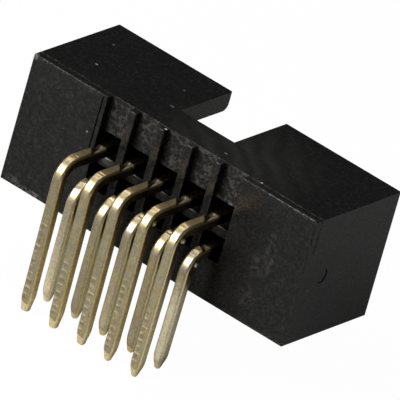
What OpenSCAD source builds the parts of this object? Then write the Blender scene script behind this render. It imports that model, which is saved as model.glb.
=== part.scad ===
// Right-angle box pin header: a keyed, moulded housing with two rows of bent square-wire contacts.
// X runs along the rows, +Y points out of the mating side, and Z = 0 is the board's surface.
// The origin is the middle of the grid of tails on the board.

/* [Contacts] */
// Contacts in each of the two rows
ways = 5; // [2:1:10]
// Distance between neighbouring contacts, and between the two rows
pitch = 1.27; // [1.2:0.01:1.6]
// Width of the square wire
wire = 0.40; // [0.3:0.01:0.5]
// Radius of the wire's drawn corners
wire_r = 0.05; // [0.02:0.01:0.1]
// Radius on the inside of each bend
bend_r = 0.40; // [0.3:0.01:0.6]
// From the housing's back to the middle of the nearer row of tails
tail_gap = 1.08; // [0.95:0.01:2]
// Length of the tails below the board's surface
tail_l = 2.62; // [1.5:0.01:4]
// Length of the contacts that stands free in the mating cavity
mating_l = 2.45; // [1.2:0.01:2.7]
// Length of the slow taper that leads to each point, with the point
taper_l = 0.64; // [0.5:0.01:1]
// Length of the steeper point at each end
point_l = 0.38; // [0.2:0.01:0.45]
// Width of the wire where the taper meets the point
shoulder_w = 0.34; // [0.26:0.01:0.36]
// Width of the blunt end of each point
point_w = 0.20; // [0.12:0.01:0.24]

/* [Housing] */
// From the middle of the end contact to the end of the housing
end_reach = 3.81; // [2.6:0.01:6]
// Height of the housing above the board
body_h = 4.91; // [4.5:0.01:7]
// Depth of the housing from its back to its mating face
body_d = 4.80; // [4.4:0.01:8]
// Radius of the long outer corners
corner_r = 0.10; // [0.05:0.01:0.3]
// Thickness of the solid base that holds the contacts
base_t = 1.82; // [1.5:0.01:2]
// Thickness of the upper and lower walls of the mating cavity
wall_t = 0.75; // [0.5:0.01:0.9]
// Thickness of the end walls of the mating cavity
end_wall_t = 1.20; // [0.8:0.01:1.8]
// Radius of the rounded lead-in at the mouth of the cavity
lead_in_r = 0.28; // [0.1:0.01:0.4]
// Width of the key notch through the upper wall
key_w = 2.43; // [1.5:0.01:3]

/* [Back] */
// Width of the channel behind each pair of contacts
channel_w = 0.97; // [0.8:0.01:1.05]
// Depth of the channels below the back face
channel_d = 0.33; // [0.15:0.01:0.5]
// Depth of the pockets round the contacts, below the back face
pocket_d = 0.95; // [0.6:0.01:1.2]
// From the middle of an upper contact to the top of its pocket
pocket_above = 0.45; // [0.35:0.01:0.6]
// From the middle of a lower contact to the floor of its pocket
pocket_below = 0.32; // [0.3:0.01:0.6]
// Height of the bar between the two pockets of a channel
bar_h = 0.36; // [0.2:0.01:0.4]
// Gap on each side of a contact in its hole through the base
hole_gap = 0.01; // [0.005:0.005:0.05]

/* [Hidden] */
$fn = 48;
// How far a cutter reaches past the face that it opens
over = 0.5;
// Length of the housing along the rows
body_w = (ways - 1) * pitch + 2 * end_reach;
// Heights of the two rows, either side of the housing's middle
upper_z = body_h / 2 + pitch / 2;
lower_z = body_h / 2 - pitch / 2;
// The back face's place in Y, with the grid of tails centred on the origin
back_y = tail_gap + pitch / 2;
// Radius of the bend along the wire's middle
bend_mid_r = bend_r + wire / 2;
// The mating cavity
cavity_w = body_w - 2 * end_wall_t;
cavity_h = body_h - 2 * wall_t;
cavity_d = body_d - base_t;
// Heights that bound the pockets
pocket_floor_z = lower_z - pocket_below;
pocket_roof_z = upper_z + pocket_above;
bar_low_z = body_h / 2 - bar_h / 2;
bar_high_z = body_h / 2 + bar_h / 2;

// Place of a contact along the rows, counted from 1 at the -X end
function column_x(i) = (i - (ways + 1) / 2) * pitch;

// A closed outline from its right half, listed from the bottom up
function mirrored(half) = concat(half, [for (i = [len(half) - 1 : -1 : 0]) [-half[i].x, half[i].y]]);

// Where a taper from one half-width to another, carried back, reaches a greater half-width
function carried_back(from, to, half_w) = from.y - (half_w - from.x) * (to.y - from.y) / (from.x - to.x);

// Extrudes an outline drawn in X and Z along +Y, from a given start
module along_y(start, length) {
    translate([0, start + length, 0])
        rotate([90, 0, 0])
            linear_extrude(length)
                children();
}

// Extrudes an outline drawn in Y and Z along X, centred
module across_x(width) {
    translate([-width / 2, 0, 0])
        rotate([90, 0, 90])
            linear_extrude(width)
                children();
}

// A rectangle with round corners, centred
module rounded_rectangle(w, h, r) {
    square([w - 2 * r, h], center = true);
    square([w, h - 2 * r], center = true);
    for (x = [-1, 1], y = [-1, 1])
        translate([x * (w / 2 - r), y * (h / 2 - r)])
            circle(r);
}

// A cavity's outline from its floor at y = 0, with the edges of its mouth rounded off
module mouth_outline(w, depth, r) {
    translate([-w / 2, 0])
        square([w, depth]);
    translate([-w / 2 - r, depth])
        square([w + 2 * r, over]);
    for (side = [-1, 1])
        difference() {
            translate([side * w / 2 - r, depth - r])
                square([2 * r, r]);
            translate([side * (w / 2 + r), depth - r])
                circle(r);
        }
}

// The space for the mating connector, rounded at the mouth on all four walls
module mating_cavity() {
    translate([0, base_t, body_h / 2])
        intersection() {
            across_x(body_w + 2 * over)
                rotate(-90)
                    mirror([1, 0])
                        mouth_outline(cavity_h, cavity_d, lead_in_r);
            translate([0, 0, -body_h / 2 - over])
                linear_extrude(body_h + 2 * over)
                    mouth_outline(cavity_w, cavity_d, lead_in_r);
        }
}

// The notch in the upper wall that keys the mating connector
module key_notch() {
    translate([-key_w / 2, base_t, body_h / 2])
        cube([key_w, cavity_d + over, body_h / 2 + over]);
}

// One channel in the back, open at the top, with a deep pocket round each contact and its hole
module back_channel() {
    translate([-channel_w / 2, -over, pocket_floor_z])
        cube([channel_w, channel_d + over, body_h - pocket_floor_z + over]);
    translate([-channel_w / 2, -over, pocket_floor_z])
        cube([channel_w, pocket_d + over, bar_low_z - pocket_floor_z]);
    translate([-channel_w / 2, -over, bar_high_z])
        cube([channel_w, pocket_d + over, pocket_roof_z - bar_high_z]);
    for (z = [lower_z, upper_z])
        translate([0, 0, z])
            along_y(pocket_d - channel_d, base_t - pocket_d + channel_d + over)
                square(wire + 2 * hole_gap, center = true);
}

// The moulded housing
module housing() {
    color("#29292a")
        translate([0, back_y, 0])
            difference() {
                translate([0, 0, body_h / 2])
                    along_y(0, body_d)
                        rounded_rectangle(body_w, body_h, corner_r);
                mating_cavity();
                key_notch();
                for (i = [1 : ways])
                    translate([column_x(i), 0, 0])
                        back_channel();
            }
}

// A straight run of wire along +Z from the origin, with a point at its far end
module pointed_run(length) {
    half = wire / 2;
    wide = half + wire_r;
    taper = [half, length - taper_l];
    shoulder = [shoulder_w / 2, length - point_l];
    point = [point_w / 2, length];
    face = [half, length - point_l];
    intersection() {
        linear_extrude(length)
            rounded_rectangle(wire, wire, wire_r);
        along_y(-wire, 2 * wire)
            polygon(mirrored([[wide, 0], [wide, carried_back(taper, shoulder, wide)], shoulder, point]));
        across_x(2 * wire)
            polygon(mirrored([[wide, 0], [wide, carried_back(face, point, wide)], point]));
    }
}

// A bent contact: its row's height, and the distance of its tail from the housing's back
module contact(row_z, tail_y) {
    color("#b8a87c")
        translate([0, back_y - tail_y, row_z - bend_mid_r]) {
            translate([0, bend_mid_r, bend_mid_r])
                rotate([-90, 0, 0])
                    pointed_run(tail_y - bend_mid_r + base_t + mating_l);
            translate([0, bend_mid_r, 0])
                rotate([90, 0, -90])
                    rotate_extrude(angle = 90)
                        translate([bend_mid_r, 0])
                            rounded_rectangle(wire, wire, wire_r);
            rotate([180, 0, 0])
                pointed_run(row_z - bend_mid_r + tail_l);
        }
}

// A contact of the upper row, whose tail is the one further from the housing
module upper_pin(i) {
    translate([column_x(i), 0, 0])
        contact(upper_z, tail_gap + pitch);
}

// A contact of the lower row
module lower_pin(i) {
    translate([column_x(i), 0, 0])
        contact(lower_z, tail_gap);
}

housing();
for (i = [1 : ways]) {
    upper_pin(i);
    lower_pin(i);
}
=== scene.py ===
"""Right-angle box pin header: a moulded housing and two rows of bent contacts, on white paper."""
import logging
import math
import random
from collections.abc import Iterable, Mapping, Sequence
from dataclasses import dataclass
from enum import Enum

import bmesh
import bpy
from mathutils import Matrix, Vector


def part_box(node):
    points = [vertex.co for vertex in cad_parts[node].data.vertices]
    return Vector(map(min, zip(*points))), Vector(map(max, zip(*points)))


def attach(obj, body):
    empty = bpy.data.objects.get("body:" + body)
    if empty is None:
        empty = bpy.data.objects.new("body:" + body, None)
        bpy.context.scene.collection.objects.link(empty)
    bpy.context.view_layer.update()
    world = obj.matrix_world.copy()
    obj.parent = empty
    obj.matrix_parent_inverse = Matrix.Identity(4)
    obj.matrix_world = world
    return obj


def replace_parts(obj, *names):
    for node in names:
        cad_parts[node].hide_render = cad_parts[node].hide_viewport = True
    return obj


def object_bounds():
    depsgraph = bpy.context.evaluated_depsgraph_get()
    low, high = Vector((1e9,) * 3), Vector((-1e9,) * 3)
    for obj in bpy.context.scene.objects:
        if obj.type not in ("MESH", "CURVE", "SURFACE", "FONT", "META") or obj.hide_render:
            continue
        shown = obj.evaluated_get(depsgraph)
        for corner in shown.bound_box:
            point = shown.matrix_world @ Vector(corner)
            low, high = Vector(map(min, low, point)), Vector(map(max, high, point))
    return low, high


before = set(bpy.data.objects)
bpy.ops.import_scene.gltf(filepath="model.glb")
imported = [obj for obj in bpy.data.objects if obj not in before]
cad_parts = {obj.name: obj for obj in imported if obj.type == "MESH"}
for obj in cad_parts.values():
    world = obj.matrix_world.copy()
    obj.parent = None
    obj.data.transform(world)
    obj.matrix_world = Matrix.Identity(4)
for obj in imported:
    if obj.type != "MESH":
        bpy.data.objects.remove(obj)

CAD_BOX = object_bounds()
LOG = logging.getLogger("pin_header")
BODY = "root"
# Metres in a millimetre. Meshes are worked out in millimetres and written in metres.
MM = 0.001
# What turns metres into millimetres on each axis
TO_MM = (1 / MM,) * 3
# Places nearer than this, in millimetres, are the same one
SAME = 1e-4
WHITE = (1.0, 1.0, 1.0, 1.0)
# What most of a noise lies between
NOISE_SPAN = (0.3, 0.7)
# Length of a Wave texture's wave at a scale of 1
WAVE_LENGTH = math.tau / 20
# What each point of a wire's skin carries: how bright its plating is, with painted shade and painted
# highlights, how marked, with painted shade and painted highlights among the marks, and how bare
SKIN_LAYERS = ("tone", "mark", "bare")

Tree = bpy.types.NodeTree
Socket = bpy.types.NodeSocket
Span = tuple[float, float]
Point = tuple[float, float, float]
Ring = list[bmesh.types.BMVert]


class Slot(Enum):
    """The record's material slots."""

    HOUSING = "housing_plastic"
    CONTACT = "contact_plating"


class Row(Enum):
    """The rows of contacts, by the start of their nodes' names."""

    UPPER = "upper_pin_"
    LOWER = "lower_pin_"


def bounded(value: float, low: float = 0.0) -> float:
    """Keeps a value between a lower bound and 1."""
    return max(low, min(1.0, value))


def box_mm(node: str) -> tuple[Vector, Vector]:
    """Gives the low and high corners of a node's box, in millimetres."""
    low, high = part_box(node)
    return low / MM, high / MM


# The housing's box, and the places of its back, its top and its +X end
LOW, HIGH = box_mm("housing")
BACK, TOP, END = LOW.y, HIGH.z, HIGH.x
# The floor of the channels in the back, and the height at which it ends, at the roof of the upper pockets
CHANNEL_DEPTH = 0.33
CHANNEL_FLOOR = BACK + CHANNEL_DEPTH
POCKET_ROOF = 3.54


def linear(hex_colour: str) -> tuple[float, float, float, float]:
    """Turns an sRGB hex colour into a linear one.

    Args:
        hex_colour: Six hex digits after a hash sign.

    Returns:
        Linear red, green and blue, with an alpha of 1.
    """
    shares = [int(hex_colour[i : i + 2], 16) / 255 for i in (1, 3, 5)]
    red, green, blue = (s / 12.92 if s <= 0.04045 else ((s + 0.055) / 1.055) ** 2.4 for s in shares)
    return red, green, blue, 1.0


def add(
    tree: Tree, kind: str, inputs: Mapping[str | int, object] | Sequence[object] = (), **settings: object
) -> bpy.types.bpy_prop_collection:
    """Adds a shader node with its settings, and links or sets its inputs.

    Args:
        tree: The node tree to add to.
        kind: The node's type, without the ShaderNode that every name starts with.
        inputs: Sockets to link, or values to set, in the inputs' order or by an input's name or number.
        settings: The node's own properties.

    Returns:
        The new node's outputs.
    """
    node = tree.nodes.new("ShaderNode" + kind)
    for name, value in settings.items():
        setattr(node, name, value)
    for key, value in inputs.items() if isinstance(inputs, Mapping) else enumerate(inputs):
        if isinstance(value, Socket):
            tree.links.new(value, node.inputs[key])
        else:
            node.inputs[key].default_value = value
    return node.outputs


def layered(tree: Tree, colour: str, layers: Iterable[tuple[Socket, str | Socket]]) -> Socket:
    """Lays colours over a first one, in order.

    Args:
        tree: The node tree to add to.
        colour: The first colour, in hex.
        layers: Each layer's share, from 0 to 1, and its colour, in hex or from a node.

    Returns:
        The colour that shows.
    """
    shown = linear(colour)
    for share, paint in layers:
        over = linear(paint) if isinstance(paint, str) else paint
        shown = add(tree, "Mix", {0: share, 6: shown, 7: over}, data_type="RGBA")[2]
    return shown


def white_share(tree: Tree, glow: float, mirrored_glow: float) -> Socket:
    """Works out the share of plain white in a background.

    Args:
        tree: The node tree to add to.
        glow: The share to the camera.
        mirrored_glow: The share in what mirrors or passes the background.

    Returns:
        The share for each ray.
    """
    ray = add(tree, "LightPath")
    passed = add(tree, "Math", (ray["Is Glossy Ray"], ray["Is Transmission Ray"]), operation="MAXIMUM")[0]
    mirrored = add(tree, "Math", (passed, mirrored_glow), operation="MULTIPLY")[0]
    direct = add(tree, "Math", (ray["Is Camera Ray"], glow), operation="MULTIPLY")[0]
    return add(tree, "Math", (mirrored, direct), operation="MAXIMUM")[0]


def new_tree(name: str) -> tuple[bpy.types.Material, Tree]:
    """Makes an empty material.

    Args:
        name: The material's name.

    Returns:
        The material and its node tree.
    """
    material = bpy.data.materials.new(name)
    material.use_nodes = True
    material.node_tree.nodes.clear()
    return material, material.node_tree


def add_object(name: str, data: bpy.types.ID) -> bpy.types.Object:
    """Adds an object to the scene.

    Args:
        name: The object's name.
        data: Its mesh, lamp or camera.

    Returns:
        The object.
    """
    item = bpy.data.objects.new(name, data)
    bpy.context.scene.collection.objects.link(item)
    return item


def add_piece(name: str, mesh: bpy.types.Mesh, material: bpy.types.Material) -> bpy.types.Object:
    """Adds a mesh in the part's frame as a piece that rides on the part.

    Args:
        name: The piece's name.
        mesh: Its mesh, in metres.
        material: Its material.

    Returns:
        The piece's object.
    """
    piece = add_object(name, mesh)
    mesh.materials.clear()
    mesh.materials.append(material)
    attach(piece, BODY)
    return piece


@dataclass(frozen=True)
class Speck:
    """A pale chip, scuff, grain of dust or patch of painted light on the moulding: its place, reach on each
    axis and strength.
    """

    place: Point
    reach: Point = (0.05, 0.05, 0.05)
    strength: float = 1.0
    ragged: bool = False


@dataclass(frozen=True)
class Ground:
    """What the moulding's patterns start from: where the surface lies, how it faces, and noises."""

    tree: Tree
    # The surface's place in millimetres, and the same on each axis
    place: Socket
    at: bpy.types.bpy_prop_collection
    # 1 where the surface faces up, where it faces back, and on the channels' floors
    upwards: Socket
    backwards: Socket
    floor: Socket
    # Fine grain, curls of about the mottling's size, and wide patches
    grain: Socket
    curl: Socket
    patch: Socket

    def away(self, middle: Point, scale: Point = (1.0, 1.0, 1.0)) -> Socket:
        """Works out how far the surface is from a point.

        Args:
            middle: The point, in millimetres.
            scale: What the distance on each axis is multiplied by.

        Returns:
            The scaled distance.
        """
        off = add(self.tree, "VectorMath", (self.place, middle), operation="SUBTRACT")[0]
        scaled = add(self.tree, "VectorMath", (off, scale), operation="MULTIPLY")[0]
        return add(self.tree, "VectorMath", (scaled,), operation="LENGTH")["Value"]


@dataclass(frozen=True)
class MouldedNylon:
    """Black glass-filled nylon, injection-moulded in a spark-eroded tool."""

    # The eye gets a near-black with a dull sheen of the white around it, fine pale flecks of glass at the
    # surface, pale curls that are strongest round the channels and fade beside the +X channels as painted
    # shade, a hazy top, pale spots where it is rubbed, and painted light on the bar between the first
    # pockets.
    # A band is where in a noise a pattern starts and where it is full.
    name: str = "glass_filled_nylon_moulded"
    colour: str = "#0b0b0b"
    pale_colour: str = "#3e3d3a"
    warm_colour: str = "#473a31"
    worn_colour: str = "#6c6a65"
    chip_and_light_colour: str = "#c9c7c0"
    roughness: float = 0.29
    roughness_spread: float = 0.07
    floor_roughness: float = 0.6
    edge_roughness: float = 0.6
    specular_level: float = 0.25
    # How square a face has to be to a way to face it, and how near to the channels' floors counts as on them
    facing: float = 0.7
    floor_slack: float = 0.05
    # Real grain is about 0.02 mm, under a pixel, so it is drawn at about 0.06 mm to show
    grain: float = 0.06
    bump_height: float = 0.006
    bump_strength: float = 0.8
    patch: float = 0.40
    detail: float = 3.0
    # How far the channels' floors are warmer in patches
    warm_band: Span = (0.52, 0.68)
    warm_share: float = 0.8
    # Glass fibres are about 0.01 mm thick, so their flecks are drawn at about 0.05 mm to show
    fleck_spacing: float = 0.11
    fleck_share: float = 0.5
    # Where a fleck ends and is full, as shares of its cell, and the span of the cells' own noise
    fleck_size: Span = (0.55, 0.1)
    fleck_band: Span = (0.35, 1.0)
    # The spark-eroded tool's curls are about 0.03 mm wide, so they are drawn at about 0.1 mm to show
    curl: float = 0.17
    curl_detail: float = 2.0
    curl_roughness: float = 0.6
    curl_twist: float = 0.8
    curl_band: Span = (0.46, 0.64)
    # How pale the curls are on every face, on the ribs, at the back of the top, and in patches on the back
    plain_curls: float = 0.10
    rib_curls: float = 0.38
    top_curls: float = 0.18
    back_curls: Span = (0.102, 0.34)
    back_band: Span = (0.35, 0.65)
    # Painted shade of the contacts beside the channels on the +X side: where along X the back's curls fade,
    # and the share of its curls there
    painted_shade_span: Span = (3.0, 4.9)
    painted_shade_share: float = 0.1
    # How far the ribs' curls reach along X from the middle, and over what length they fade there
    rib_reach: float = 3.45
    rib_fade: float = 0.3
    # Where the ribs' curls start and are full above the pockets, and how they fade to the top
    rib_rise: Span = (-0.5, 0.2)
    rib_high: float = 4.25
    rib_top_share: float = 0.3
    # How far from the back the top's curls end, and how near to it they are full
    top_reach: Span = (0.45, 0.1)
    # A haze on the top behind the key notch: its middle, its edge, where it is full, and its share
    haze_place: Point = (1.9, 2.8, TOP)
    haze_reach: Span = (3.6, 1.08)
    haze_share: float = 0.24
    # The haze's flow marks: their spacing, twist, detail and depth
    flow_spacing: float = 0.55
    flow_twist: float = 5.0
    flow_detail: float = 2.0
    flow_depth: float = 0.4
    # How far the rub reaches from the back's long edges, its share there, and how it breaks up
    rub_reach: float = 0.16
    rub_share: float = 0.28
    rub_band: Span = (0.40, 0.66)
    least_rub: float = 0.12
    rub_grain: Span = (0.46, 0.60)
    # Where the edges are rubbed more, along X, and by how much
    more_rub_span: Span = (2.5, 4.0)
    more_rub: float = 0.12
    # Where a speck is full, as a share of its reach, and how a ragged one breaks up
    speck_core: float = 0.5
    speck_band: Span = (0.42, 0.62)
    specks: tuple[Speck, ...] = (
        Speck((-0.54, 1.88, TOP), (0.06, 0.06, 0.06)),
        Speck((3.59, 2.09, TOP)),
        Speck((1.61, 2.56, TOP), (0.08, 0.06, 0.05), 0.25),
        Speck((-4.79, 3.28, TOP), (0.07, 0.05, 0.05), 0.5),
        Speck((-5.45, 5.06, TOP), strength=0.25),
        Speck((-1.52, 3.46, TOP), (0.13, 0.05, 0.05), 0.2),
        Speck((-2.07, 4.83, TOP), (0.05, 0.06, 0.05), 0.2),
        Speck((-6.28, 1.76, 4.84), (0.16, 0.16, 0.16), 0.22, True),
        Speck((-5.85, BACK, 0.12), (0.50, 0.10, 0.24), 0.08, True),
        Speck((-4.95, BACK, 0.06), (0.75, 0.10, 0.16), 0.18, True),
        Speck((-3.46, BACK, 3.33), strength=0.3),
        Speck((2.10, CHANNEL_FLOOR, 3.62), (0.09, 0.09, 0.09), 0.4, True),
        Speck((2.62, CHANNEL_FLOOR, 3.64), (0.14, 0.09, 0.12), 0.4, True),
        Speck((-2.12, CHANNEL_FLOOR, 3.62), (0.08, 0.08, 0.08), 0.3, True),
        # Painted light: a pale patch on the bar between the first pockets and a painted highlight along its
        # top edge
        Speck((-2.52, CHANNEL_FLOOR, 2.53), (0.36, 0.10, 0.16), 0.06),
        Speck((-2.52, CHANNEL_FLOOR, 2.635), (0.34, 0.08, 0.04), 0.4),
        Speck((4.90, BACK, 2.90), (0.30, 0.08, 1.10), 0.03, True),
        Speck((4.45, BACK, 2.20), (0.24, 0.08, 0.60), 0.03, True),
        Speck((4.45, BACK, 1.00), (0.40, 0.08, 0.55), 0.03, True),
        Speck((END, 2.35, 2.05), strength=0.2),
        Speck((END, 4.90, 2.75), strength=0.12),
    )

    def material(self) -> bpy.types.Material:
        """Builds the material.

        Returns:
            The material, which reads how far the housing's edges are worn.
        """
        material, tree = new_tree(self.name)
        ground = self.ground(tree)
        edge = add(tree, "Attribute", attribute_name="worn")["Fac"]
        warmth = add(tree, "MapRange", (ground.patch, *self.warm_band, 0.0, self.warm_share))[0]
        warmth = add(tree, "Math", (warmth, ground.floor), operation="MULTIPLY")[0]
        tint = layered(tree, self.pale_colour, ((warmth, self.warm_colour),))
        colour = layered(tree, self.colour, (
            (self.pale_share(ground, self.curl_share(ground)), tint),
            (self.wear_share(ground, edge), self.worn_colour),
            (self.chip_and_light_share(ground), self.chip_and_light_colour),
        ))
        spread = self.roughness_spread
        dull = add(tree, "MapRange", {0: ground.floor, 3: self.roughness, 4: self.floor_roughness})[0]
        rough = add(tree, "MapRange", (ground.grain, *NOISE_SPAN, -spread, spread))[0]
        uneven = add(tree, "Math", (dull, rough), operation="ADD")[0]
        eased = add(tree, "Mix", {0: edge, 2: uneven, 3: self.edge_roughness})[0]
        bump = add(tree, "Bump", {
            "Height": ground.grain, "Strength": self.bump_strength, "Distance": self.bump_height * MM,
        })[0]
        shader = add(tree, "BsdfPrincipled", {
            "Base Color": colour, "Roughness": eased, "Specular IOR Level": self.specular_level,
            "Normal": bump,
        })[0]
        add(tree, "OutputMaterial", {"Surface": shader})
        return material

    def ground(self, tree: Tree) -> Ground:
        """Makes the places, the faces and the noises that the patterns start from.

        Args:
            tree: The material's tree.

        Returns:
            What the patterns start from.
        """
        given = add(tree, "TexCoord")
        place = add(tree, "VectorMath", (given["Object"], TO_MM), operation="MULTIPLY")[0]
        at = add(tree, "SeparateXYZ", (place,))
        facing = add(tree, "SeparateXYZ", (given["Normal"],))
        upwards = add(tree, "Math", (facing["Z"], self.facing), operation="GREATER_THAN")[0]
        backwards = add(tree, "Math", (facing["Y"], -self.facing), operation="LESS_THAN")[0]
        level = add(tree, "Math", (at["Y"], CHANNEL_FLOOR, self.floor_slack), operation="COMPARE")[0]
        above = add(tree, "Math", (at["Z"], POCKET_ROOF), operation="GREATER_THAN")[0]
        floor = add(tree, "Math", (level, above), operation="MULTIPLY")[0]
        grain, patch = (
            add(tree, "TexNoise", {"Vector": place, "Scale": 1 / size, "Detail": self.detail})[0]
            for size in (self.grain, self.patch)
        )
        curl = add(tree, "TexNoise", {
            "Vector": place, "Scale": 1 / self.curl, "Detail": self.curl_detail,
            "Roughness": self.curl_roughness, "Distortion": self.curl_twist,
        })[0]
        return Ground(tree, place, at, upwards, backwards, floor, grain, curl, patch)

    def curl_share(self, ground: Ground) -> Socket:
        """Works out how strong the pale curls are: full on the channels' floors, weaker elsewhere, and
        weaker still beside the +X channels as painted shade.

        Args:
            ground: What the patterns start from.

        Returns:
            From 0 to 1.
        """
        tree, at = ground.tree, ground.at
        off = add(tree, "Math", (at["X"],), operation="ABSOLUTE")[0]
        across = add(tree, "MapRange", (off, self.rib_reach, self.rib_reach - self.rib_fade))[0]
        rise = add(tree, "MapRange", (at["Z"], *(POCKET_ROOF + z for z in self.rib_rise)))[0]
        fall = add(tree, "MapRange", (at["Z"], TOP, self.rib_high, self.rib_top_share))[0]
        rib = self.rib_curls
        for share in (across, rise, fall):
            rib = add(tree, "Math", (share, rib), operation="MULTIPLY")[0]
        block = add(tree, "MapRange", (ground.patch, *self.back_band, *self.back_curls))[0]
        # Painted shade: the back's curls fade beside the +X channels, where the contacts shade it
        painted_shade = add(tree, "MapRange", (at["X"], *self.painted_shade_span, self.painted_shade_share))[0]
        left = add(tree, "Math", (at["X"], 0.0), operation="LESS_THAN")[0]
        painted_shade = add(tree, "Math", (painted_shade, left), operation="MAXIMUM")[0]
        block = add(tree, "Math", (block, painted_shade), operation="MULTIPLY")[0]
        back = add(tree, "Math", (rib, block), operation="MAXIMUM")[0]
        back = add(tree, "Math", (back, ground.backwards), operation="MULTIPLY")[0]
        beside = (BACK + reach for reach in self.top_reach)
        top = add(tree, "MapRange", (at["Y"], *beside, 0.0, self.top_curls))[0]
        top = add(tree, "Math", (top, ground.upwards), operation="MULTIPLY")[0]
        strength = self.plain_curls
        for share in (ground.floor, back, top):
            strength = add(tree, "Math", (share, strength), operation="MAXIMUM")[0]
        return strength

    def pale_share(self, ground: Ground, curls: Socket) -> Socket:
        """Works out how pale the surface is, by its curls, its flecks of glass and the haze on its top.

        Args:
            ground: What the patterns start from.
            curls: How strong the curls are.

        Returns:
            From 0, the nylon's black, to 1.
        """
        tree = ground.tree
        curl = add(tree, "MapRange", (ground.curl, *self.curl_band))[0]
        curl = add(tree, "Math", (curl, curls), operation="MULTIPLY")[0]
        cells = add(tree, "TexVoronoi", {"Vector": ground.place, "Scale": 1 / self.fleck_spacing})
        dot = add(tree, "MapRange", (cells["Distance"], *self.fleck_size))[0]
        strength = add(tree, "MapRange", (cells["Color"], *self.fleck_band, 0.0, self.fleck_share))[0]
        fleck = add(tree, "Math", (dot, strength), operation="MULTIPLY")[0]
        flow = add(tree, "TexWave", {
            "Vector": ground.place, "Scale": WAVE_LENGTH / self.flow_spacing,
            "Distortion": self.flow_twist, "Detail": self.flow_detail,
        }, bands_direction="DIAGONAL")["Fac"]
        ripple = add(tree, "MapRange", {0: flow, 3: 1 - self.flow_depth, 4: 1 + self.flow_depth})[0]
        away = ground.away(self.haze_place)
        haze = add(tree, "MapRange", (away, *self.haze_reach, 0.0, self.haze_share))[0]
        for share in (ground.upwards, ripple):
            haze = add(tree, "Math", (haze, share), operation="MULTIPLY")[0]
        mottled = add(tree, "Math", (curl, haze), operation="ADD")[0]
        return add(tree, "Math", (mottled, fleck), operation="MAXIMUM")[0]

    def wear_share(self, ground: Ground, edge: Socket) -> Socket:
        """Picks out rubbed edges, which are rubbed more towards +X.

        Args:
            ground: What the patterns start from.
            edge: How far eased edges rub.

        Returns:
            How far the surface is rubbed, from 0 to 1.
        """
        tree = ground.tree
        more = add(tree, "MapRange", (ground.at["X"], *self.more_rub_span, 0.0, self.more_rub))[0]
        patch = add(tree, "Math", (ground.patch, more), operation="ADD")[0]
        rubbed = add(tree, "MapRange", (patch, *self.rub_band, self.least_rub))[0]
        ragged = add(tree, "MapRange", (ground.grain, *self.rub_grain))[0]
        wear = edge
        for rim in (TOP, LOW.z):
            away = ground.away((0.0, BACK, rim), (0.0, 1.0, 1.0))
            beside = add(tree, "MapRange", (away, self.rub_reach, 0.0, 0.0, self.rub_share))[0]
            wear = add(tree, "Math", (wear, beside), operation="MAXIMUM")[0]
        for share in (rubbed, ragged):
            wear = add(tree, "Math", (wear, share), operation="MULTIPLY")[0]
        return wear

    def chip_and_light_share(self, ground: Ground) -> Socket:
        """Picks out chips, scuffs, dust and the painted light on the bar between the first pockets.

        Args:
            ground: What the patterns start from.

        Returns:
            How far the surface is covered, from 0 to 1.
        """
        tree = ground.tree
        ragged = add(tree, "MapRange", (ground.curl, *self.speck_band))[0]
        covered = 0.0
        for speck in self.specks:
            away = ground.away(speck.place, tuple(1 / reach for reach in speck.reach))
            near = add(tree, "MapRange", (away, 1.0, self.speck_core, 0.0, speck.strength))[0]
            if speck.ragged:
                near = add(tree, "Math", (near, ragged), operation="MULTIPLY")[0]
            covered = add(tree, "Math", (near, covered), operation="MAXIMUM")[0]
        return covered


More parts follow.
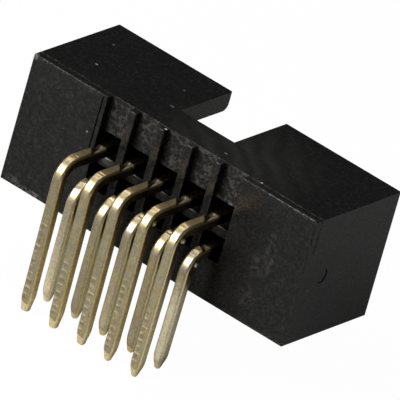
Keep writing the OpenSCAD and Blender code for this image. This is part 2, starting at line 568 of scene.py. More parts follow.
@dataclass(frozen=True)
class GoldFlash:
    """A thin gold flash over nickel on drawn and swaged copper-alloy wire."""

    # The eye gets a dull, olive gold, greyer where the faces are rubbed, and yellower and painted brighter
    # on the sheared sides as a painted sheen, with soft lines along the wire, darker tool marks with
    # burnished edges, painted shade and painted highlights laid in with the marks, and bright, bare points.
    name: str = "gold_flash_on_drawn_wire"
    colour: str = "#a89c77"
    rubbed_colour: str = "#a49a86"
    # The sides' colour is partly their own yellower gold and partly a painted sheen, lighter than the front
    side_sheen_colour: str = "#f3dea8"
    run_colour: str = "#ae976f"
    # Dents and painted shade take the first colour, burnish and painted highlights the second
    mark_and_shade_colour: str = "#6c5b3e"
    burnish_and_highlight_colour: str = "#f6e8cb"
    point_colour: str = "#f6e4b6"
    roughness: float = 0.40
    side_roughness: float = 0.32
    roughness_spread: float = 0.06
    # Drawing lines are a few microns wide, so they are drawn at about 0.05 mm to show
    line_width: float = 0.05
    line_length: float = 0.9
    line_depth: float = 0.08
    # Spots of wear are about 0.03 mm, so they are drawn at about 0.08 mm to show
    spot: float = 0.08
    spot_depth: float = 0.20
    fine_detail: float = 2.0
    # Rubbed patches, and where in their noise one starts and is full
    patch: float = 0.30
    patch_detail: float = 3.0
    rubbed_band: Span = (0.4, 0.62)
    # How square a face is to the top or to a side where that one's colour starts and is full
    run_band: Span = (0.80, 0.99)
    side_band: Span = (0.55, 0.95)

    def material(self) -> bpy.types.Material:
        """Builds the material.

        Returns:
            The material, which reads the wire's UV map and its tones, marks and bare points, where tones and
            marks carry painted shade and painted highlights.
        """
        material, tree = new_tree(self.name)
        given = add(tree, "TexCoord")
        place = add(tree, "VectorMath", (given["Object"], TO_MM), operation="MULTIPLY")[0]
        wire = add(tree, "UVMap", uv_map="wire")[0]
        scale = (1 / self.line_width, 1 / self.line_length, 0.0)
        stretched = add(tree, "VectorMath", (wire, scale), operation="MULTIPLY")[0]
        patterns = (
            (stretched, 1.0, self.fine_detail), (place, self.spot, self.fine_detail),
            (place, self.patch, self.patch_detail),
        )
        lines, spots, patches = (
            add(tree, "TexNoise", {"Vector": vector, "Scale": 1 / size, "Detail": detail})[0]
            for vector, size, detail in patterns
        )
        facing = add(tree, "SeparateXYZ", (given["Normal"],))
        sideways = add(tree, "Math", (facing["X"],), operation="ABSOLUTE")[0]
        bands = (patches, self.rubbed_band), (facing["Z"], self.run_band), (sideways, self.side_band)
        rubbed, upwards, side = (add(tree, "MapRange", (value, *band))[0] for value, band in bands)
        tone, mark, bare = (add(tree, "Attribute", attribute_name=name)["Fac"] for name in SKIN_LAYERS)
        # Marks above 0 are dents and painted shade, below 0 burnish and painted highlights
        dent_and_shade = add(tree, "Math", (mark, 0.0), operation="MAXIMUM")[0]
        burnish = add(tree, "Math", (mark, -1.0), operation="MULTIPLY", use_clamp=True)[0]
        colour = layered(tree, self.colour, (
            (rubbed, self.rubbed_colour), (upwards, self.run_colour), (side, self.side_sheen_colour),
            (dent_and_shade, self.mark_and_shade_colour), (burnish, self.burnish_and_highlight_colour), (bare, self.point_colour),
        ))
        level = add(tree, "Mix", {0: bare, 2: tone, 3: 1.0})[0]
        for pattern, depth in ((lines, self.line_depth), (spots, self.spot_depth)):
            shade = add(tree, "MapRange", (pattern, *NOISE_SPAN, -depth, depth))[0]
            level = add(tree, "Math", (level, shade), operation="ADD")[0]
        colour = add(tree, "VectorMath", {0: colour, "Scale": level}, operation="SCALE")[0]
        spread = self.roughness_spread
        base = add(tree, "MapRange", {0: side, 3: self.roughness, 4: self.side_roughness})[0]
        uneven = add(tree, "MapRange", {0: lines, 3: -spread, 4: spread})[0]
        dull = add(tree, "Math", (base, uneven), operation="ADD")[0]
        shader = add(tree, "BsdfPrincipled", {"Base Color": colour, "Metallic": 1.0, "Roughness": dull})[0]
        add(tree, "OutputMaterial", {"Surface": shader})
        return material


@dataclass(frozen=True)
class WhitePaper:
    """Matt white background paper, swept flat under the part."""

    # The eye gets an even white that keeps a faint shadow of the part.
    name: str = "white_paper_matt"
    colour: str = "#cfcfcd"
    # Share of the paper's own white over its lit surface, to the camera and in what mirrors or passes it
    glow: float = 0.98
    mirrored_glow: float = 0.04
    # The paper's colour straight to the camera, where it is brighter for the eye than in what it lights
    seen_colour: str = "#fcfcfb"

    def material(self) -> bpy.types.Material:
        """Builds the material.

        Returns:
            The material.
        """
        material, tree = new_tree(self.name)
        seen = add(tree, "LightPath")["Is Camera Ray"]
        tint = layered(tree, self.colour, ((seen, self.seen_colour),))
        paper = add(tree, "BsdfDiffuse", {"Color": tint})[0]
        white = add(tree, "Emission", {"Color": WHITE, "Strength": 1.0})[0]
        share = white_share(tree, self.glow, self.mirrored_glow)
        mixed = add(tree, "MixShader", (share, paper, white))[0]
        add(tree, "OutputMaterial", {"Surface": mixed})
        return material


@dataclass
class Housing:
    """The moulded housing, with its moulded edges eased and the mould's witness marks cut in."""

    finish: MouldedNylon
    node: str = "housing"
    edge_ease: float = 0.03
    ease_steps: int = 2
    # Reach of the solid's rounded long corners, which are drawn as sharp as the other edges
    corner_reach: float = 0.10
    # Faces that meet at more than the first angle make an edge to ease, and under the second one are flat
    sharp_deg: float = 35.0
    flat_deg: float = 1.0
    hole_size: float = 0.42
    # How much the edges away from the back's long edges are rubbed, and how far along X the channels reach
    other_wear: float = 0.25
    channels_reach: float = 3.05
    # How far the marks' cutters stand outside the housing
    cutter_over: float = 0.2
    # A split line of the tool beside the first channel: its middle, width, depth, and ends in height
    split_x: float = -3.20
    split_width: float = 0.065
    split_depth: float = 0.05
    split_low: float = 2.30
    split_top_gap: float = 0.06
    # A sink line across the top over the cavity's floor
    sink_from: float = 1.30
    sink_to: float = 4.20
    sink_y: float = 3.535
    sink_width: float = 0.07
    sink_depth: float = 0.010
    # A round mark of the tool's insert on the +X end
    insert_y: float = 2.97
    insert_z: float = 2.49
    insert_radius: float = 0.30
    insert_depth: float = 0.025
    insert_sides: int = 32

    def build(self) -> bpy.types.Object:
        """Builds the housing from its node's form, with eased edges and witness marks.

        Returns:
            The piece that stands for the housing's node.
        """
        form = bmesh.new()
        form.from_mesh(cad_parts[self.node].data)
        bmesh.ops.scale(form, vec=TO_MM, verts=form.verts)
        self.sharpen(form)
        bmesh.ops.remove_doubles(form, verts=form.verts, dist=SAME)
        bmesh.ops.dissolve_degenerate(form, edges=form.edges, dist=SAME)
        flat = math.radians(self.flat_deg)
        bmesh.ops.dissolve_limit(form, angle_limit=flat, verts=form.verts, edges=form.edges)
        worn = form.faces.layers.float.new("worn")
        # A profile of 0.5 is a round one
        eased = bmesh.ops.bevel(
            form, geom=list(self.sharp_edges(form)), offset=self.edge_ease, offset_type="OFFSET",
            segments=self.ease_steps, profile=0.5, affect="EDGES", clamp_overlap=False, material=-1,
        )
        for face in eased["faces"]:
            face[worn] = 1.0 if self.on_long_edge(face) else self.other_wear
            face.smooth = True
        mesh = self.cut(form)
        mesh.transform(Matrix.Scale(MM, 4))
        piece = add_piece("moulded_housing", mesh, self.finish.material())
        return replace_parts(piece, self.node)

    def sharpen(self, form: bmesh.types.BMesh) -> None:
        """Draws the rounded long corners out to sharp ones.

        Args:
            form: The housing's form, in millimetres.
        """
        reach = self.corner_reach + SAME
        for vert in form.verts:
            end_x = LOW.x if vert.co.x < 0 else HIGH.x
            rim_z = LOW.z if vert.co.z < (LOW.z + HIGH.z) / 2 else HIGH.z
            if abs(vert.co.x - end_x) < reach and abs(vert.co.z - rim_z) < reach:
                vert.co.x, vert.co.z = end_x, rim_z

    def sharp_edges(self, form: bmesh.types.BMesh) -> Iterable[bmesh.types.BMEdge]:
        """Picks the outer edges to ease.

        Args:
            form: The housing's form, in millimetres.

        Yields:
            Each convex edge that is sharp and isn't at a contact's hole.
        """
        for edge in form.edges:
            at_hole = abs(edge.calc_length() - self.hole_size) < SAME
            if edge.is_convex and not at_hole and edge.calc_face_angle() > math.radians(self.sharp_deg):
                yield edge

    def on_long_edge(self, face: bmesh.types.BMFace) -> bool:
        """Tells whether a face eases one of the back's long edges, outside the channels.

        Args:
            face: A face of the housing's form.

        Returns:
            True if it does.
        """
        middle = face.calc_center_median()
        at_back = middle.y - BACK < self.edge_ease
        at_rim = min(middle.z - LOW.z, HIGH.z - middle.z) < self.edge_ease
        return at_back and at_rim and abs(middle.x) > self.channels_reach

    def cut(self, form: bmesh.types.BMesh) -> bpy.types.Mesh:
        """Cuts the mould's witness marks into the form.

        Args:
            form: The housing's form, in millimetres, which is used up.

        Returns:
            The housing's mesh, in millimetres.
        """
        items = []
        for name, solid in (("whole_housing", form), ("witness_marks", self.witness_marks())):
            mesh = bpy.data.meshes.new(name)
            solid.to_mesh(mesh)
            solid.free()
            items.append(add_object(name, mesh))
        body, cutter = items
        modifier = body.modifiers.new("witness_marks", "BOOLEAN")
        modifier.operation, modifier.solver, modifier.object = "DIFFERENCE", "EXACT", cutter
        done = body.evaluated_get(bpy.context.evaluated_depsgraph_get())
        mesh = bpy.data.meshes.new_from_object(done)
        mesh.name = "moulded_housing"
        for item in items:
            bpy.data.objects.remove(item)
        return mesh

    def witness_marks(self) -> bmesh.types.BMesh:
        """Makes the solids that cut the witness marks, in millimetres.

        Returns:
            The split line's, the sink line's and the insert mark's solids, which reach outside the housing.
        """
        over = self.cutter_over
        split = (
            (self.split_x - self.split_width / 2, self.split_x + self.split_width / 2),
            (BACK - over, BACK + self.split_depth),
            (self.split_low, TOP - self.split_top_gap),
        )
        sink = (
            (self.sink_from, self.sink_to),
            (self.sink_y - self.sink_width / 2, self.sink_y + self.sink_width / 2),
            (TOP - self.sink_depth, TOP + over),
        )
        tools = bmesh.new()
        for spans in (split, sink):
            near, far = (Vector(corner) for corner in zip(*spans))
            place = Matrix.LocRotScale((near + far) / 2, None, far - near)
            bmesh.ops.create_cube(tools, size=1.0, matrix=place)
        depth = self.insert_depth + over
        middle = Vector((END + over - depth / 2, self.insert_y, self.insert_z))
        bmesh.ops.create_cone(
            tools, cap_ends=True, segments=self.insert_sides, radius1=self.insert_radius,
            radius2=self.insert_radius, depth=depth,
            matrix=Matrix.Translation(middle) @ Matrix.Rotation(math.pi / 2, 4, "Y"),
        )
        return tools


@dataclass(frozen=True)
class WireRoute:
    """The middle line of a bent contact, from the point of its tail to its mating point."""

    x: float
    leg_y: float
    tail_z: float
    run_z: float
    mate_y: float
    # Half of the wire's width, and the radius of its bend
    half: float
    bend: float
    # How far the tail's end stands off to +X
    lean: float

    @property
    def leg(self) -> float:
        """Length of the straight leg."""
        return self.run_z - self.bend - self.tail_z

    @property
    def arc(self) -> float:
        """Length of the bend."""
        return self.bend * math.pi / 2

    @property
    def length(self) -> float:
        """Length of the whole wire."""
        return self.leg + self.arc + self.mate_y - self.leg_y - self.bend

    @property
    def entry(self) -> float:
        """Distance along the wire to the housing's back."""
        return self.leg + self.arc + BACK - self.leg_y - self.bend

    def point(self, s: float, u: float, v: float) -> Vector:
        """Places a point of the section.

        Args:
            s: Distance along the wire.
            u: Place across the row.
            v: Place out of the bend.

        Returns:
            The point, in millimetres in the part's frame.
        """
        turn = max(0.0, min(self.arc, s - self.leg)) / self.bend
        out_y, out_z = -math.cos(turn), math.sin(turn)
        y = self.leg_y + self.bend + self.bend * out_y + max(0.0, s - self.leg - self.arc)
        z = self.run_z - self.bend + self.bend * out_z - max(0.0, self.leg - s)
        x = self.x + self.lean * max(0.0, 1 - s / self.leg)
        return Vector((x + u, y + v * out_y, z + v * out_z))


@dataclass(frozen=True)
class ToolMark:
    """A mark on the outer face of a wire, darkened or, with a tint below 0, burnished, and pressed in."""

    along: float
    across: float
    length: float
    width: float
    tint: float
    depth: float = 0.0
    edge: float = 0.035

    def share(self, s: float, u: float) -> float:
        """Works out how far the mark covers a place s along the wire and u across the row, up to 1."""
        sides = ((s - self.along, self.length), (u - self.across, self.width))
        return math.prod(bounded((size / 2 - abs(off)) / self.edge + 0.5) for off, size in sides)


@dataclass(frozen=True)
class FeedLadder:
    """The ladder of dents that the feed's teeth left up a leg, with burnished strokes beside them."""

    # Spreads of the first dent's distance from the point, and of the dents' sizes, gaps and tints
    start: Span = (0.12, 0.25)
    length: Span = (0.10, 0.18)
    width: Span = (0.15, 0.25)
    across: Span = (-0.07, -0.02)
    spacing: Span = (0.08, 0.17)
    tint: Span = (0.20, 0.50)
    depth: float = 0.008
    # The stroke past each dent, its gap from the dent and how far it starts outside of it
    stroke_length: Span = (0.045, 0.075)
    stroke_width: Span = (0.12, 0.26)
    stroke_tint: Span = (-0.60, -0.20)
    stroke_gap: float = 0.03
    stroke_out: float = 0.02
    # A burnished strip along the ladder's outer edge
    strip_across: float = -0.15
    strip_width: float = 0.10
    strip_tint: float = -0.12
    # The burnished outer edge of some dents: its chance, width, place outside the dent and greater length
    edge_chance: float = 0.45
    edge_width: float = 0.035
    edge_out: float = 0.01
    edge_over: float = 0.06
    # The short stroke inside some dents: its chance, place from the dent's middle, sizes and tint
    inner_chance: float = 0.35
    inner_along: Span = (-0.05, 0.02)
    inner_across: float = 0.05
    inner_length: float = 0.035
    inner_width: float = 0.08
    inner_tint: float = -0.6

    def marks(self, start: float, stop: float, draw: random.Random) -> list[ToolMark]:
        """Places the dents and strokes.

        Args:
            start: Where the ladder starts along the wire.
            stop: Where it ends.
            draw: Where the marks' spread comes from.

        Returns:
            The marks.
        """
        marks = [ToolMark(
            (start + stop) / 2, self.strip_across, stop - start, self.strip_width, self.strip_tint,
            edge=self.strip_width / 2,
        )]
        s = start
        while s < stop:
            spreads = self.length, self.width, self.across, self.tint, self.stroke_width
            length, width, across, tint, reach = (draw.uniform(*spread) for spread in spreads)
            left = across - width / 2
            marks.append(ToolMark(s, across, length, width, tint, self.depth))
            marks.append(ToolMark(
                s + length / 2 + self.stroke_gap, left + reach / 2 - self.stroke_out,
                draw.uniform(*self.stroke_length), reach, draw.uniform(*self.stroke_tint),
            ))
            if draw.random() < self.edge_chance:
                marks.append(ToolMark(
                    s, left - self.edge_out, length + self.edge_over, self.edge_width,
                    draw.uniform(*self.stroke_tint),
                ))
            if draw.random() < self.inner_chance:
                marks.append(ToolMark(
                    s + draw.uniform(*self.inner_along), across + self.inner_across, self.inner_length,
                    self.inner_width, self.inner_tint,
                ))
            s += length + draw.uniform(*self.spacing)
        return marks


@dataclass(frozen=True)
class Creases:
    """The short creases that the former left across a bend, by their count and the spread of their sizes."""

    count: int
    # Where they lie, as shares of the bend
    turn: Span
    across: Span = (-0.12, 0.12)
    length: Span = (0.02, 0.06)
    width: Span = (0.12, 0.45)
    tint: Span = (-0.3, 0.5)
    depth: float = 0.010

    def marks(self, route: WireRoute, draw: random.Random) -> list[ToolMark]:
        """Places the creases.

        Args:
            route: The wire's route.
            draw: Where the creases' spread comes from.

        Returns:
            The marks.
        """
        marks = []
        for _ in range(self.count):
            spreads = self.turn, self.across, self.length, self.width, self.tint
            turn, *sizes = (draw.uniform(*spread) for spread in spreads)
            marks.append(ToolMark(route.leg + route.arc * turn, *sizes, self.depth))
        return marks


@dataclass(frozen=True)
class ClampDent:
    """The slanted dent that the bending clamp pressed across a run, with painted shade where it falls and a
    painted highlight where it rises.
    """

    # Distances from the housing's back to the dent's start and lowest line, at the +X edge, and to its end
    start: float
    lowest: float
    stop: float
    # How much nearer to the housing the start and the lowest line are at the -X edge
    start_slant: float
    lowest_slant: float
    depth: float = 0.14
    # Painted shade where the dent falls and a painted highlight where it rises
    fall_painted_shade: float = 0.9
    rise_painted_highlight: float = 0.65
    edge: float = 0.05
    # The shortest rise from the lowest line to the dent's end
    least_rise: float = 0.22

    def lines(self, across: float) -> tuple[float, float]:
        """Works out how far from the housing's back the dent starts and is lowest, by place across."""
        share = (1 - across) / 2
        return self.start - self.start_slant * share, self.lowest - self.lowest_slant * share

    def sunk(self, away: float, across: float) -> float:
        """Works out the dent's depth at a place.

        Args:
            away: Distance from the housing's back.
            across: Place across the wire's face, from -1 at the dented edge to 1.

        Returns:
            The depth.
        """
        start, lowest = self.lines(across)
        lowest = min(max(lowest, self.stop + self.least_rise), start - self.edge)
        slopes = (start - away) / (start - lowest), (away - self.stop) / (lowest - self.stop)
        return self.depth * bounded(min(slopes)) * (1 - across) / 2

    def tint(self, away: float, across: float) -> float:
        """Works out how far the dent's painted shade darkens the plating or, below 0, its painted highlight
        brightens it.

        Args:
            away: Distance from the housing's back.
            across: Place across the wire's face, from -1 at the dented edge to 1.

        Returns:
            The tint.
        """
        start, lowest = self.lines(across)
        offs = start - away, away - self.stop, lowest - away
        begun, left, lit = (bounded(off / self.edge + 0.5) for off in offs)
        return begun * left * (self.fall_painted_shade - (self.fall_painted_shade + self.rise_painted_highlight) * lit)


@dataclass(frozen=True)
class Wire:
    """How one contact differs from the next: its plating, its lean and its tail's end."""

    # How bright the plating is at the bend and at the tail's end
    bend_tone: float
    end_tone: float
    # How far the tail's end stands off to +X
    lean: float
    end_width: float = 0.20
    # How far the tail is burnished, and the share of the leg over which that grows
    burnish: float = 0.0
    burnish_reach: float = 1.0
    # Height of the lump that the bend squeezed out of the +X side
    lump: float = 0.0


@dataclass
class ContactRow:
    """A row of bent, pointed square-wire contacts, marked by the tools that fed and bent them."""

    row: Row
    finish: GoldFlash
    # The row's contacts, from the -X end
    wires: tuple[Wire, ...]
    # Length of the bare facet at each point
    facet: float
    clamp: ClampDent
    creases: Creases
    # How far up the leg the feed's ladder reaches, at the least and at the most
    ladder_top: Span = (0.0, 0.0)
    ladder: FeedLadder = FeedLadder()
    bend_inside: float = 0.40
    corner: float = 0.08
    taper: float = 0.64
    point: float = 0.38
    shoulder_width: float = 0.34
    point_width: float = 0.20
    point_corner: float = 0.10
    end_round: float = 0.08
    # The greatest corner's radius, as a share of half of the section's width
    corner_limit: float = 0.9
    # Distance between rings of points, how many times that is in the cavity, and the rings on a rounded end
    step: float = 0.025
    cavity_steps: int = 8
    end_steps: int = 4
    # Half of the gap between the two rings that keep a shoulder crisp
    shoulder_gap: float = 0.003
    corner_steps: int = 4
    flat_steps: int = 10
    # How much wider the wire is on the inside of its bend, where the metal is squeezed
    bulge: float = 0.05
    # A bare facet's slant across the row, the softness of its edge, its share on the sides of the point, and
    # how far round from the front it is full
    facet_slant: float = 0.25
    facet_edge: float = 0.03
    facet_side: float = 0.25
    facet_round: float = 0.85
    # Painted shade across the section: how much brighter the outer face is painted than the inner one
    painted_outer_lift: float = 0.20
    # Painted shade where the run lies in the housing's shadow: how dark the plating is painted there, how
    # soon and for how long
    pocket_shade_tone: float = 0.10
    pocket_shade_ease: float = 0.15
    pocket_shade_length: float = 1.0
    # Painted shade in the clamp's dent: how much it darkens the plating where it pressed, and how far round
    # the corner it does
    pressed_painted_shade: float = 0.7
    pressed_round: float = 0.6
    # A squeezed-out lump's place in the bend, its share of the way to the inside, its reach and the painted
    # highlight on it
    lump_turn: float = 0.46
    lump_inward: float = 0.5
    lump_reach: float = 0.13
    lump_painted_highlight: float = 2.0
    # Painted shade on the wire's sides round the bend, where they mirror the dark housing: how dark, and how
    # far down the leg that reaches
    side_painted_shade: float = 0.85
    side_reach: float = 2.8
    # Painted light on the sides beside the front: how much brighter or darker they are painted, and how far
    # round the corner they start
    side_painted_light: float = 0.80
    side_round: float = 1.2
    # How much less a burnished tail's sides are rubbed than its front
    side_rub: float = 0.6
    # A painted highlight where the bend ends: how much brighter the plating is painted there, and how far
    # that reaches
    bend_painted_highlight: float = 0.55
    bend_highlight_reach: float = 0.45

    def build(self) -> list[bpy.types.Object]:
        """Builds every contact of the row.

        Returns:
            The pieces, each of which stands for its node.
        """
        material = self.finish.material()
        names = sorted(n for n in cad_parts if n.startswith(self.row.value))
        return [self.contact(name, wire, material) for name, wire in zip(names, self.wires)]

    def contact(self, node: str, wire: Wire, material: bpy.types.Material) -> bpy.types.Object:
        """Builds one contact in its node's place.

        Args:
            node: The node's name.
            wire: How this contact differs from the next.
            material: The contacts' material.

        Returns:
            The contact's piece.
        """
        low, high = box_mm(node)
        half = (high.x - low.x) / 2
        route = WireRoute(
            x=(low.x + high.x) / 2, leg_y=low.y + half, tail_z=low.z, run_z=high.z - half, mate_y=high.y,
            half=half, bend=self.bend_inside + half, lean=wire.lean,
        )
        marks = self.tool_marks(route, random.Random(node))
        form = bmesh.new()
        form.loops.layers.uv.new("wire")
        layers = [form.verts.layers.float.new(name) for name in SKIN_LAYERS]
        stations = self.stations(route)
        rings = []
        for s in stations:
            ring = []
            for u, v in self.section(route, s, wire.end_width):
                place, looks = self.surface(wire, route, marks, s, u, v)
                vert = form.verts.new(place * MM)
                for layer, value in zip(layers, looks):
                    vert[layer] = value
                ring.append(vert)
            rings.append(ring)
        self.skin(form, route, stations, rings)
        mesh = bpy.data.meshes.new(node + "_wire")
        form.to_mesh(mesh)
        form.free()
        piece = add_piece(node + "_wire", mesh, material)
        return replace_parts(piece, node)

    def skin(
        self, form: bmesh.types.BMesh, route: WireRoute, stations: list[float], rings: list[Ring]
    ) -> None:
        """Joins the rings to a closed skin, mapped in millimetres round and along the wire.

        Args:
            form: The wire's form.
            route: Its route.
            stations: Where each ring lies along the wire.
            rings: The rings of points.
        """
        uv = form.loops.layers.uv["wire"]
        full = self.outline(route.half, route.half, self.corner)
        around = [0.0]
        for (u0, v0), (u1, v1) in zip(full, full[1:] + full[:1]):
            around.append(around[-1] + math.hypot(u1 - u0, v1 - v0))
        along = [min(s, route.length - s) for s in stations]
        for j, (ring, following) in enumerate(zip(rings, rings[1:])):
            for i in range(len(full)):
                k = (i + 1) % len(full)
                face = form.faces.new((ring[i], ring[k], following[k], following[i]))
                face.smooth = True
                for loop, (m, n) in zip(face.loops, ((i, j), (i + 1, j), (i + 1, j + 1), (i, j + 1))):
                    loop[uv].uv = (around[m], along[n])
        form.faces.new(list(reversed(rings[0])))
        form.faces.new(rings[-1])
        bmesh.ops.recalc_face_normals(form, faces=form.faces)

    def surface(
        self, wire: Wire, route: WireRoute, marks: list[ToolMark], s: float, u: float, v: float
    ) -> tuple[Vector, Point]:
        """Works out where a point of the wire's skin lies and how it looks.

        Args:
            wire: The contact.
            route: Its route.
            marks: The tool marks on its outer face.
            s: Distance along the wire.
            u: Place across the row.
            v: Place out of the bend.

        Returns:
            The point, in millimetres, and its tone, mark and bare share.
        """
        half = route.half
        outer = v > half - SAME
        covered = [(mark.share(s, u), mark) for mark in marks] if outer else []
        sunk = sum(share * mark.depth for share, mark in covered)
        tint = sum(share * mark.tint for share, mark in covered)
        rub = 1.0 if outer else self.side_rub
        tint -= wire.burnish * rub * bounded((1 - s / route.leg) / wire.burnish_reach)
        # Painted shade across the section, darker towards the inner face
        tone = self.tone(wire, route, s) * (1 + self.painted_outer_lift * v / half)
        away, across = route.entry - s, bounded(u / half, -1.0)
        if v > 0:
            sunk += self.clamp.sunk(away, across) * v / half
        # Painted shade where the clamp's dent falls and a painted highlight where it rises
        if v > half - self.pressed_round * self.corner:
            pressed = self.clamp.tint(away, across)
            tint += pressed
            tone *= 1 - self.pressed_painted_shade * max(0.0, pressed)
        # Painted light on the sides, and painted shade on them round the bend
        if v < half - self.side_round * self.corner:
            tone *= self.side_painted_light
            tint += self.side_painted_shade * bounded((s - route.leg) / self.side_reach + 1)
        swell = self.lump(route, s, u, v) if wire.lump > 0 else 0.0
        # Painted highlight on the squeezed-out lump
        tint -= self.lump_painted_highlight * swell
        bare = self.bare_share(min(s, route.length - s), u, v)
        place = route.point(s, u + wire.lump * swell, v - sunk)
        return place, (tone, bounded(tint, -1.0), bare)

    def lump(self, route: WireRoute, s: float, u: float, v: float) -> float:
        """Works out how far the wire's side is squeezed out at a place near the inside of its bend.

        Args:
            route: The wire's route.
            s: Distance along the wire.
            u: Place across the row.
            v: Place out of the bend.

        Returns:
            The share of the lump's height, from 0 to 1.
        """
        if u < 0:
            return 0.0
        off_s = s - route.leg - self.lump_turn * route.arc
        off = math.hypot(off_s, v + self.lump_inward * route.half) / self.lump_reach
        return math.sqrt(max(0.0, 1 - off**2))

    def tone(self, wire: Wire, route: WireRoute, s: float) -> float:
        """Works out how bright the plating is at one place along the wire.

        Args:
            wire: The contact.
            route: Its route.
            s: Distance along the wire.

        Returns:
            The brightness, which falls up the leg, with a painted highlight where the bend ends and painted
            shade inside the housing but not in its mating cavity.
        """
        tone = wire.end_tone + (wire.bend_tone - wire.end_tone) * bounded(s / route.leg)
        # Painted shade of the housing over the run, from just before its back to the mating cavity
        inside = bounded((s - route.entry + self.clamp.stop) / self.pocket_shade_ease + 0.5)
        freed = bounded((s - route.entry - self.pocket_shade_length) / self.pocket_shade_ease)
        # Painted highlight where the bend ends
        bend_highlit = max(0.0, 1 - abs(s - route.leg - route.arc) / self.bend_highlight_reach)
        return tone * (1 + self.bend_painted_highlight * bend_highlit) * (1 - (1 - self.pocket_shade_tone) * inside * (1 - freed))

    def tool_marks(self, route: WireRoute, draw: random.Random) -> list[ToolMark]:
        """Places the feed's ladder of marks up the leg and the creases across the bend.

        Args:
            route: The wire's route.
            draw: Where the marks' spread comes from.

        Returns:
            The marks.
        """
        marks = []
        top = route.leg * draw.uniform(*self.ladder_top)
        if top > self.taper:
            marks = self.ladder.marks(self.point + draw.uniform(*self.ladder.start), top, draw)
        return marks + self.creases.marks(route, draw)

    def bare_share(self, d: float, u: float, v: float) -> float:
        """Picks out the bare facets of the points by the distance d from an end: 1, or less on the sides."""
        inside = bounded((self.facet - self.facet_slant * u - d) / self.facet_edge)
        return inside * (1.0 if abs(v) > self.facet_round * abs(u) else self.facet_side)

    def outline(self, wide: float, thick: float, corner: float) -> list[Span]:
        """Works out a section of the wire, a rectangle with round corners.

        Args:
            wide: Half of its width across the row.
            thick: Half of its width out of the bend.
            corner: The corners' radius.

        Returns:
            Points round the section, across the row and out of the bend.
        """
        arcs = []
        for quarter, (sign_u, sign_v) in enumerate(((1, 1), (-1, 1), (-1, -1), (1, -1))):
            angles = [math.pi / 2 * (quarter + i / self.corner_steps) for i in range(self.corner_steps + 1)]
            middle_u, middle_v = sign_u * (wide - corner), sign_v * (thick - corner)
            arcs.append([
                (middle_u + corner * math.cos(angle), middle_v + corner * math.sin(angle))
                for angle in angles
            ])
        points = []
        for arc, following in zip(arcs, arcs[1:] + arcs[:1]):
            (u0, v0), (u1, v1) = arc[-1], following[0]
            shares = [i / self.flat_steps for i in range(1, self.flat_steps)]
            points += arc + [(u0 + (u1 - u0) * share, v0 + (v1 - v0) * share) for share in shares]
        return points

    def stations(self, route: WireRoute) -> list[float]:
        """Picks the places along the wire that get a ring of points.

        Args:
            route: The wire's route.

        Returns:
            Distances along the wire, in order.
        """
        quarter = math.pi / 2 / self.end_steps
        ends = [self.end_round * (1 - math.cos(quarter * i)) for i in range(self.end_steps + 1)]
        for shoulder in (self.point, self.taper):
            ends += [shoulder - self.shoulder_gap, shoulder + self.shoulder_gap]
        places = set(ends) | {route.length - e for e in ends}
        fine_end = route.entry + self.pocket_shade_ease
        count = round(fine_end / self.step)
        places |= {fine_end * i / count for i in range(1, count + 1)}
        rest = route.length - self.taper - fine_end
        coarse = round(rest / (self.cavity_steps * self.step))
        places |= {fine_end + rest * i / coarse for i in range(1, coarse)}
        return sorted(places)

    def section(self, route: WireRoute, s: float, end_width: float) -> list[Span]:
        """Works out the wire's section at one place: tapered at its ends and keystoned in its bend.

        Args:
            route: The wire's route.
            s: Distance along the wire.
            end_width: Width of the tail's blunt end.

        Returns:
            Points round the section, across the row and out of the bend.
        """
        half = route.half
        d = min(s, route.length - s)
        end = (end_width if s < route.leg else self.point_width) / 2
        shoulder = self.shoulder_width / 2
        eased = bounded((self.taper - d) / (self.taper - self.point))
        corner = self.corner + (self.point_corner - self.corner) * eased
        if d < self.point:
            wide = end + (shoulder - end) * d / self.point
            thick = end + (half - end) * d / self.point
        else:
            wide = half + (shoulder - half) * eased**2
            thick = half
        if d < self.end_round:
            drop = self.end_round - math.sqrt(max(0.0, self.end_round**2 - (self.end_round - d) ** 2))
            wide, thick = wide - drop, thick - drop
        corner = min(corner, self.corner_limit * wide, self.corner_limit * thick)
        squeeze = self.bulge * math.sin(math.pi * bounded((s - route.leg) / route.arc)) ** 2
        return [(u * (1 - squeeze * v / half), v) for u, v in self.outline(wide, thick, corner)]


@dataclass(frozen=True)
class SoftBox:
    """A square soft box: the way to it from the part, its distance, its side and how bright its face is."""

    name: str
    way: Point
    distance: float
    size: float
    radiance: float

    def build(self, aim: Vector) -> None:
        """Adds the lamp.

        Args:
            aim: The point that it faces.
        """
        light = bpy.data.lights.new(self.name, "AREA")
        light.size = self.size
        light.energy = self.radiance * math.pi * self.size**2
        lamp = add_object(self.name, light)
        way = Vector(self.way).normalized()
        lamp.location = aim + way * self.distance
        lamp.rotation_euler = way.to_track_quat("Z", "Y").to_euler()


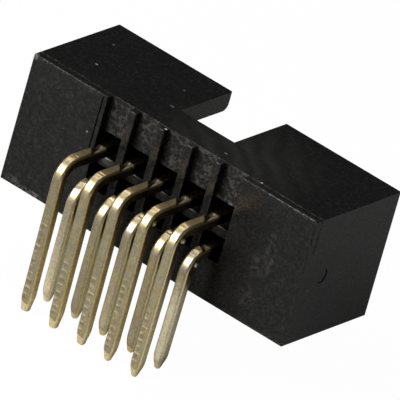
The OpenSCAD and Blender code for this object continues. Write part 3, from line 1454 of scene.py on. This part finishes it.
@dataclass
class Studio:
    """White paper under the part, a low soft box at the front left, one overhead and a dim room."""

    paper: WhitePaper
    floor_size: float = 2.0
    boxes: tuple[SoftBox, ...] = (
        SoftBox("key", (-0.42, -0.72, 0.55), distance=0.15, size=0.08, radiance=13.8),
        SoftBox("overhead", (-0.45, 0.15, 0.88), distance=0.15, size=0.07, radiance=3.0),
    )
    # The way to the room's lit front, how far round it fades, and the light of the back and the front
    room_way: Point = (0.5, -0.866, 0.0)
    room_turn: Span = (-0.9, 0.8)
    room_light: Span = (0.04, 0.06)
    # Share of plain white over the room's own light, to the camera and in what mirrors or passes it
    glow: float = 0.98
    mirrored_glow: float = 0.02

    def build(self) -> None:
        """Builds the paper, the lamps and the room."""
        low, high = CAD_BOX
        mesh = bpy.data.meshes.new("paper")
        s = self.floor_size / 2
        corners = [(-s, -s), (s, -s), (s, s), (-s, s)]
        mesh.from_pydata([(x, y, low.z) for x, y in corners], [], [(0, 1, 2, 3)])
        mesh.materials.append(self.paper.material())
        add_object("paper", mesh)
        for box in self.boxes:
            box.build((low + high) / 2)
        self.room()

    def room(self) -> None:
        """Lights the room from the front, with a dim back."""
        world = bpy.data.worlds.new("room")
        world.use_nodes = True
        tree = world.node_tree
        tree.nodes.clear()
        way = add(tree, "TexCoord")["Generated"]
        turned = add(tree, "VectorMath", (way, self.room_way), operation="DOT_PRODUCT")["Value"]
        level = add(tree, "MapRange", (turned, *self.room_turn, *self.room_light))[0]
        share = white_share(tree, self.glow, self.mirrored_glow)
        level = add(tree, "Mix", {0: share, 2: level, 3: 1.0})[0]
        sky = add(tree, "Background", {"Color": WHITE, "Strength": level})[0]
        add(tree, "OutputWorld", {"Surface": sky})
        bpy.context.scene.world = world


@dataclass
class PhotoCamera:
    """The photograph's camera: a long lens, turned about its own axis."""

    azimuth: float = 31.283
    elevation: float = 26.099
    roll: float = 15.999
    aim: Point = (0.2504, 4.0034, 1.9949)
    distance: float = 500.76
    picture_width: float = 13.690
    # The nearest and furthest that it sees, in metres
    clip: Span = (0.01, 5.0)

    def build(self) -> None:
        """Builds the camera and makes it the scene's own."""
        a, e, r = (math.radians(x) for x in (self.azimuth, self.elevation, self.roll))
        back = Vector((math.sin(a) * math.cos(e), -math.cos(a) * math.cos(e), math.sin(e)))
        level = Vector((math.cos(a), math.sin(a), 0.0))
        upright = back.cross(level)
        right = level * math.cos(r) + upright * math.sin(r)
        up = upright * math.cos(r) - level * math.sin(r)
        data = bpy.data.cameras.new("photo_camera")
        data.lens = data.sensor_width * self.distance / self.picture_width
        data.clip_start, data.clip_end = self.clip
        camera = add_object("photo_camera", data)
        turn = Matrix((right, up, back)).transposed().to_4x4()
        camera.matrix_world = Matrix.Translation((Vector(self.aim) + back * self.distance) * MM) @ turn
        bpy.context.scene.camera = camera


def main() -> None:
    """Builds the scene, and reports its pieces."""
    logging.basicConfig(level=logging.INFO, format="%(name)s: %(message)s")
    bpy.context.scene.view_settings.view_transform = "Standard"
    PhotoCamera().build()
    pieces = [Housing(MouldedNylon()).build()]
    plating = GoldFlash()
    # Each contact by its tones at the bend and the end, its lean and, where it differs, its end's width
    upper = (
        Wire(0.76, 1.02, 0.095, 0.28), Wire(0.84, 1.03, 0.093, 0.28), Wire(0.82, 1.08, 0.072, 0.25),
        Wire(0.87, 1.05, 0.0, 0.20, lump=0.05), Wire(0.91, 1.12, -0.075, 0.18, lump=0.08),
    )
    lower = (
        Wire(0.98, 1.18, 0.034, burnish=0.55), Wire(1.04, 1.06, 0.028),
        Wire(1.02, 1.20, 0.022, burnish=0.25), Wire(1.08, 1.14, 0.016),
        Wire(0.92, 0.94, -0.050, 0.18, burnish=1.0, burnish_reach=0.35, lump=0.05),
    )
    pieces += ContactRow(
        Row.UPPER, plating, upper, facet=0.38, creases=Creases(3, turn=(0.75, 1.0)), ladder_top=(0.5, 0.72),
        clamp=ClampDent(start=1.12, lowest=1.05, stop=0.24, start_slant=0.50, lowest_slant=1.25),
    ).build()
    pieces += ContactRow(
        Row.LOWER, plating, lower, facet=0.27, creases=Creases(9, turn=(0.58, 0.95)),
        clamp=ClampDent(start=0.62, lowest=0.54, stop=0.20, start_slant=0.20, lowest_slant=0.48, rise_painted_highlight=0.2),
        side_reach=0.6, side_painted_light=1.15,
    ).build()
    Studio(WhitePaper()).build()
    for piece in pieces:
        LOG.info("%s: %d faces", piece.name, len(piece.data.polygons))


if __name__ == "__main__":
    main()
